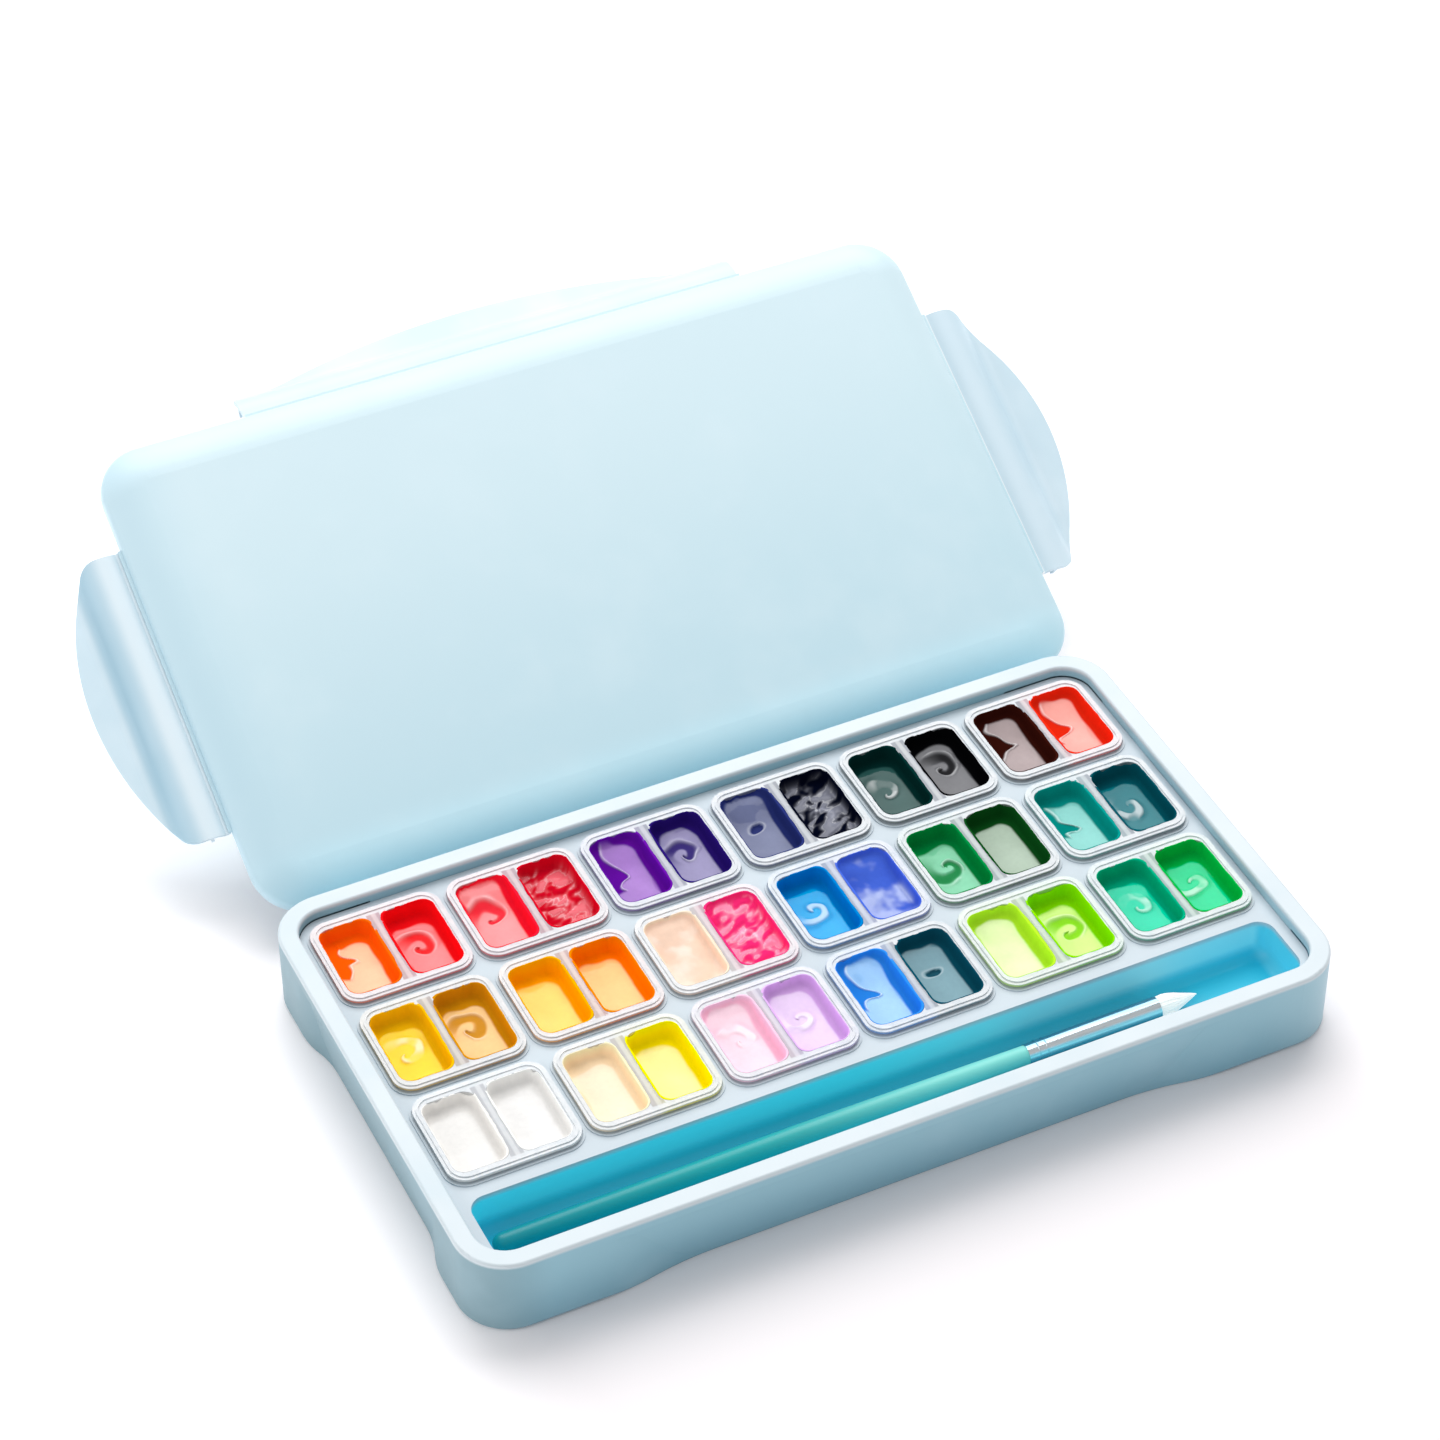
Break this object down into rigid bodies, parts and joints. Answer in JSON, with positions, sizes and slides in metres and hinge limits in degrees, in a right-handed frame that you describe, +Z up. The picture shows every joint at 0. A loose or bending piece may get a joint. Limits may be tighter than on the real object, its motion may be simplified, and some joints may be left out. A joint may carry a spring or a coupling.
{
  "type": "gouache paint set box",
  "caption": "Shallow box of twin cups of gouache in a tray with a brush trough, and a domed lid with latch flaps leaning behind it.",
  "frame": {"origin": "middle of the tub's flat underside, on the table", "axes": "+X to the right, -Y to the front with the brush trough, +Z up"},
  "size_m": [0.3792, 0.3851, 0.1015],
  "materials": {
    "tub_plastic": "pale blue satin polypropylene",
    "tray_plastic": "very pale blue satin polypropylene, deeper cyan in the trough",
    "lid_plastic": "pale sky blue, fine satin",
    "gasket": "soft white silicone",
    "handle_lacquer": "gloss lacquer, teal fading to mint towards the ferrule",
    "ferrule_metal": "polished, crimped",
    "bristles": "white nylon hair",
    "cup_plastic": "clear moulded polystyrene",
    "paint_r1c1": "wet gouache, a different colour in each compartment",
    "paint_r1c2": "wet gouache, a different colour in each compartment",
    "paint_r1c3": "wet gouache, a different colour in each compartment",
    "paint_r1c4": "wet gouache, a different colour in each compartment",
    "paint_r1c5": "wet gouache, a different colour in each compartment",
    "paint_r1c6": "wet gouache, a different colour in each compartment",
    "paint_r2c1": "wet gouache, a different colour in each compartment",
    "paint_r2c2": "wet gouache, a different colour in each compartment",
    "paint_r2c3": "wet gouache, a different colour in each compartment",
    "paint_r2c4": "wet gouache, a different colour in each compartment",
    "paint_r2c5": "wet gouache, a different colour in each compartment",
    "paint_r2c6": "wet gouache, a different colour in each compartment",
    "paint_r3c1": "wet gouache, a different colour in each compartment",
    "paint_r3c2": "wet gouache, a different colour in each compartment",
    "paint_r3c3": "wet gouache, a different colour in each compartment",
    "paint_r3c4": "wet gouache, a different colour in each compartment",
    "paint_r3c5": "wet gouache, a different colour in each compartment",
    "paint_r3c6": "wet gouache, a different colour in each compartment"
  },
  "bodies": {
    "base": {"base_tub": "tub_plastic", "cup_tray": "tray_plastic"},
    "lid": {"lid_shell": "lid_plastic", "lid_gasket": "gasket"},
    "left_flap": {"flap_left": "lid_plastic"},
    "right_flap": {"flap_right": "lid_plastic"},
    "back_flap": {"flap_back": "lid_plastic"},
    "front_flap": {"flap_front": "lid_plastic"},
    "brush": {"brush_handle": "handle_lacquer", "brush_ferrule": "ferrule_metal", "brush_bristles": "bristles"},
    "cup_1_1": {"cup_r1c1": "cup_plastic", "paint_r1c1": "paint_r1c1"},
    "cup_1_2": {"cup_r1c2": "cup_plastic", "paint_r1c2": "paint_r1c2"},
    "cup_1_3": {"cup_r1c3": "cup_plastic", "paint_r1c3": "paint_r1c3"},
    "cup_1_4": {"cup_r1c4": "cup_plastic", "paint_r1c4": "paint_r1c4"},
    "cup_1_5": {"cup_r1c5": "cup_plastic", "paint_r1c5": "paint_r1c5"},
    "cup_1_6": {"cup_r1c6": "cup_plastic", "paint_r1c6": "paint_r1c6"},
    "cup_2_1": {"cup_r2c1": "cup_plastic", "paint_r2c1": "paint_r2c1"},
    "cup_2_2": {"cup_r2c2": "cup_plastic", "paint_r2c2": "paint_r2c2"},
    "cup_2_3": {"cup_r2c3": "cup_plastic", "paint_r2c3": "paint_r2c3"},
    "cup_2_4": {"cup_r2c4": "cup_plastic", "paint_r2c4": "paint_r2c4"},
    "cup_2_5": {"cup_r2c5": "cup_plastic", "paint_r2c5": "paint_r2c5"},
    "cup_2_6": {"cup_r2c6": "cup_plastic", "paint_r2c6": "paint_r2c6"},
    "cup_3_1": {"cup_r3c1": "cup_plastic", "paint_r3c1": "paint_r3c1"},
    "cup_3_2": {"cup_r3c2": "cup_plastic", "paint_r3c2": "paint_r3c2"},
    "cup_3_3": {"cup_r3c3": "cup_plastic", "paint_r3c3": "paint_r3c3"},
    "cup_3_4": {"cup_r3c4": "cup_plastic", "paint_r3c4": "paint_r3c4"},
    "cup_3_5": {"cup_r3c5": "cup_plastic", "paint_r3c5": "paint_r3c5"},
    "cup_3_6": {"cup_r3c6": "cup_plastic", "paint_r3c6": "paint_r3c6"}
  },
  "joints": [
    {"name": "lid_lift", "type": "slide", "parent": "base", "child": "lid", "axis": [0, 0, 1], "range_m": [0, 0.12]},
    {"name": "left_flap_fold", "type": "hinge", "parent": "lid", "child": "left_flap", "pos_m": [-0.1545, 0.1836, 0.0545], "axis": [0, -0.8813, -0.4726], "range_deg": [-29, 106]},
    {"name": "right_flap_fold", "type": "hinge", "parent": "lid", "child": "right_flap", "pos_m": [0.1661, 0.1836, 0.0545], "axis": [0, 0.8813, 0.4726], "range_deg": [-29, 106]},
    {"name": "back_flap_fold", "type": "hinge", "parent": "lid", "child": "back_flap", "pos_m": [0.0058, 0.26494, 0.09812], "axis": [-1, 0, 0], "range_deg": [-60, 75]},
    {"name": "front_flap_fold", "type": "hinge", "parent": "lid", "child": "front_flap", "pos_m": [0.0058, 0.10225, 0.01089], "axis": [1, 0, 0], "range_deg": [-55, 2]},
    {"name": "brush_lift", "type": "slide", "parent": "base", "child": "brush", "axis": [0, 0, 1], "range_m": [0, 0.06]},
    {"name": "cup_1_1_lift", "type": "slide", "parent": "base", "child": "cup_1_1", "axis": [0, 0, 1], "range_m": [0, 0.04]},
    {"name": "cup_1_2_lift", "type": "slide", "parent": "base", "child": "cup_1_2", "axis": [0, 0, 1], "range_m": [0, 0.04]},
    {"name": "cup_1_3_lift", "type": "slide", "parent": "base", "child": "cup_1_3", "axis": [0, 0, 1], "range_m": [0, 0.04]},
    {"name": "cup_1_4_lift", "type": "slide", "parent": "base", "child": "cup_1_4", "axis": [0, 0, 1], "range_m": [0, 0.04]},
    {"name": "cup_1_5_lift", "type": "slide", "parent": "base", "child": "cup_1_5", "axis": [0, 0, 1], "range_m": [0, 0.04]},
    {"name": "cup_1_6_lift", "type": "slide", "parent": "base", "child": "cup_1_6", "axis": [0, 0, 1], "range_m": [0, 0.04]},
    {"name": "cup_2_1_lift", "type": "slide", "parent": "base", "child": "cup_2_1", "axis": [0, 0, 1], "range_m": [0, 0.04]},
    {"name": "cup_2_2_lift", "type": "slide", "parent": "base", "child": "cup_2_2", "axis": [0, 0, 1], "range_m": [0, 0.04]},
    {"name": "cup_2_3_lift", "type": "slide", "parent": "base", "child": "cup_2_3", "axis": [0, 0, 1], "range_m": [0, 0.04]},
    {"name": "cup_2_4_lift", "type": "slide", "parent": "base", "child": "cup_2_4", "axis": [0, 0, 1], "range_m": [0, 0.04]},
    {"name": "cup_2_5_lift", "type": "slide", "parent": "base", "child": "cup_2_5", "axis": [0, 0, 1], "range_m": [0, 0.04]},
    {"name": "cup_2_6_lift", "type": "slide", "parent": "base", "child": "cup_2_6", "axis": [0, 0, 1], "range_m": [0, 0.04]},
    {"name": "cup_3_1_lift", "type": "slide", "parent": "base", "child": "cup_3_1", "axis": [0, 0, 1], "range_m": [0, 0.04]},
    {"name": "cup_3_2_lift", "type": "slide", "parent": "base", "child": "cup_3_2", "axis": [0, 0, 1], "range_m": [0, 0.04]},
    {"name": "cup_3_3_lift", "type": "slide", "parent": "base", "child": "cup_3_3", "axis": [0, 0, 1], "range_m": [0, 0.04]},
    {"name": "cup_3_4_lift", "type": "slide", "parent": "base", "child": "cup_3_4", "axis": [0, 0, 1], "range_m": [0, 0.04]},
    {"name": "cup_3_5_lift", "type": "slide", "parent": "base", "child": "cup_3_5", "axis": [0, 0, 1], "range_m": [0, 0.04]},
    {"name": "cup_3_6_lift", "type": "slide", "parent": "base", "child": "cup_3_6", "axis": [0, 0, 1], "range_m": [0, 0.04]}
  ]
}
